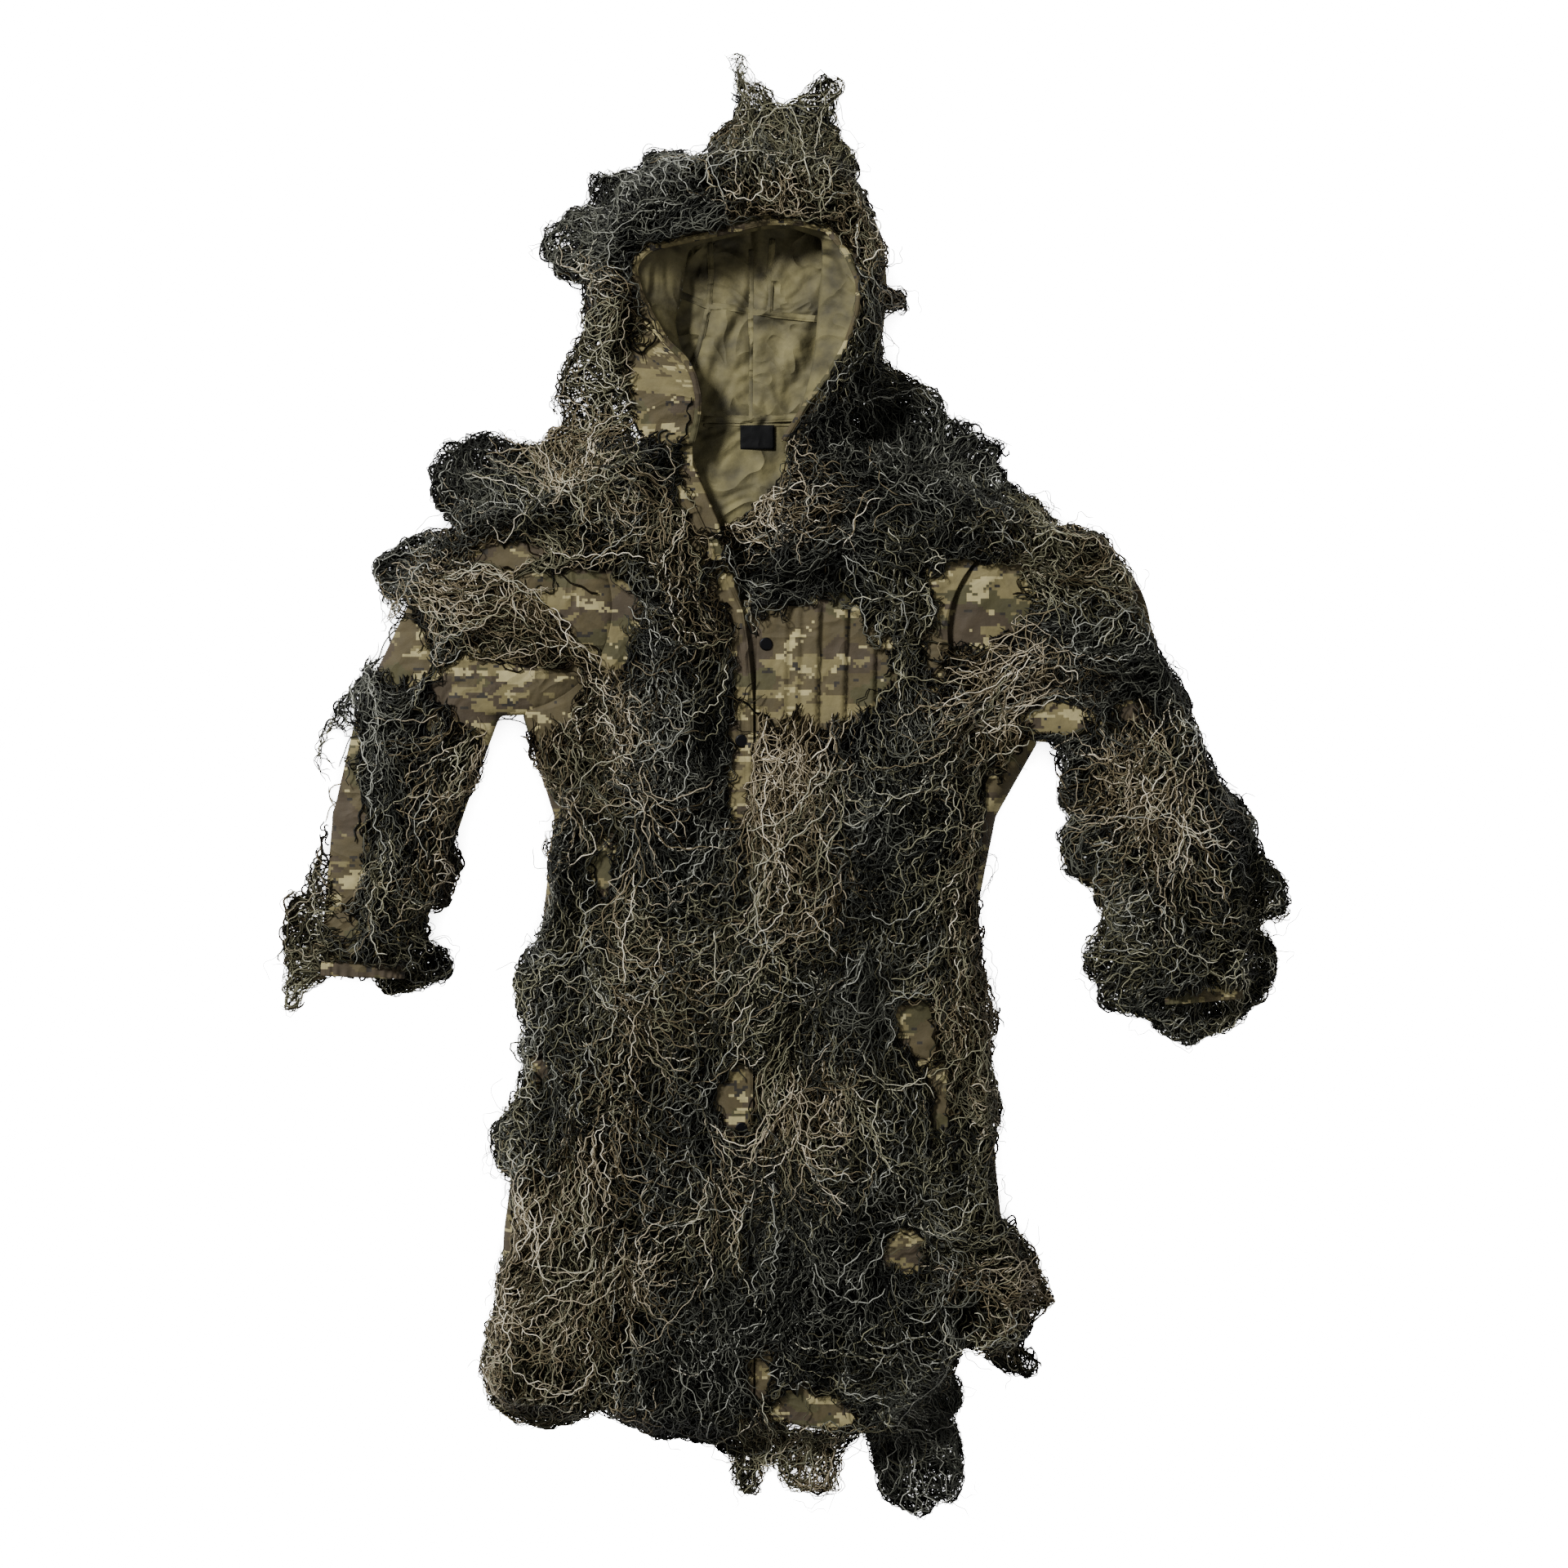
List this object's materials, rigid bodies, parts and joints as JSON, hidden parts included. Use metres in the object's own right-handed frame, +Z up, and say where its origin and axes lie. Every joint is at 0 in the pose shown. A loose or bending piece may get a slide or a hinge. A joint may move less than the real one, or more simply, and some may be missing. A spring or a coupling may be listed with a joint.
{
  "type": "ghillie parka",
  "caption": "Hooded, knee-length camouflage coat with a snap front and elastic cuffs, covered all over in rows of loose sewn-on yarn, lying flat on its back.",
  "frame": {"origin": "middle of the coat's footprint, on the floor that it lies on", "axes": "+X towards the wearer's left side, +Y from hem to hood, +Z up out of the front"},
  "size_m": [1.25, 1.81, 0.078],
  "materials": {
    "camouflage_cloth": "woven polyester cotton, printed in a blocky camouflage",
    "lining": "the cloth's pale unprinted side",
    "yarn_black": "crimped polypropylene yarn",
    "yarn_olive": "crimped polypropylene yarn",
    "yarn_brown": "crimped polypropylene yarn",
    "snap_metal": "dark oxidised brass snap",
    "label": "woven satin label, blank",
    "elastic": "braided elastic"
  },
  "bodies": {
    "coat": {"back_panel": "camouflage_cloth", "back_skirt_yarn": "yarn_olive", "back_upper_yarn": "yarn_olive", "left_side_panel": "camouflage_cloth", "left_side_skirt_yarn": "yarn_olive", "left_side_upper_yarn": "yarn_black", "left_side_waist_yarn": "yarn_brown", "neck_label": "label", "neck_tape": "lining", "right_side_panel": "camouflage_cloth", "right_side_skirt_yarn": "yarn_olive", "right_side_upper_yarn": "yarn_olive", "right_side_waist_yarn": "yarn_brown"},
    "hood": {"hood_back_yarn": "yarn_olive", "hood_centre_panel": "camouflage_cloth", "hood_crown_yarn": "yarn_black", "hood_edge_binding": "camouflage_cloth", "hood_left_side": "camouflage_cloth", "hood_left_yarn": "yarn_brown", "hood_right_side": "camouflage_cloth", "hood_right_yarn": "yarn_olive"},
    "right_sleeve": {"right_cuff": "camouflage_cloth", "right_cuff_elastic": "elastic", "right_forearm_yarn": "yarn_olive", "right_sleeve_back_yarn": "yarn_olive", "right_sleeve_cloth": "camouflage_cloth", "right_upper_arm_yarn": "yarn_black"},
    "left_sleeve": {"left_cuff": "camouflage_cloth", "left_cuff_elastic": "elastic", "left_forearm_yarn": "yarn_black", "left_sleeve_back_yarn": "yarn_olive", "left_sleeve_cloth": "camouflage_cloth", "left_upper_arm_yarn": "yarn_olive"},
    "right_front": {"right_front_facing": "camouflage_cloth", "right_front_panel": "camouflage_cloth", "right_front_skirt_yarn": "yarn_olive", "right_front_upper_yarn": "yarn_black", "right_front_waist_yarn": "yarn_brown", "snap_caps": "snap_metal", "snap_sockets": "snap_metal"},
    "left_front": {"left_front_panel": "camouflage_cloth", "left_front_placket": "camouflage_cloth", "left_front_skirt_yarn": "yarn_olive", "left_front_upper_yarn": "yarn_olive", "left_front_waist_yarn": "yarn_brown", "snap_posts": "snap_metal", "snap_studs": "snap_metal", "top_snap_cap": "snap_metal"}
  },
  "joints": [
    {"name": "hood_fold", "type": "hinge", "parent": "coat", "child": "hood", "pos_m": [-0.042, 0.447, 0.012], "axis": [1, 0, 0], "range_deg": [0, 85]},
    {"name": "right_front_fold", "type": "hinge", "parent": "coat", "child": "right_front", "pos_m": [-0.118, 0.392, 0.038], "axis": [-0.1238, -0.9923, 0], "range_deg": [0, 110]},
    {"name": "left_front_fold", "type": "hinge", "parent": "coat", "child": "left_front", "pos_m": [0.016, 0.392, 0.038], "axis": [-0.1503, 0.9886, 0], "range_deg": [0, 55]},
    {"name": "right_sleeve_swing", "type": "hinge", "parent": "coat", "child": "right_sleeve", "pos_m": [-0.338, 0.217, 0.012], "axis": [0, 0, -1], "range_deg": [-8, 25]},
    {"name": "left_sleeve_swing", "type": "hinge", "parent": "coat", "child": "left_sleeve", "pos_m": [0.33, 0.186, 0.012], "axis": [0, 0, 1], "range_deg": [-8, 25]}
  ],
  "couplings": [
    {"joint": "left_front_fold", "follows": "right_front_fold", "ratio": 0.5}
  ]
}
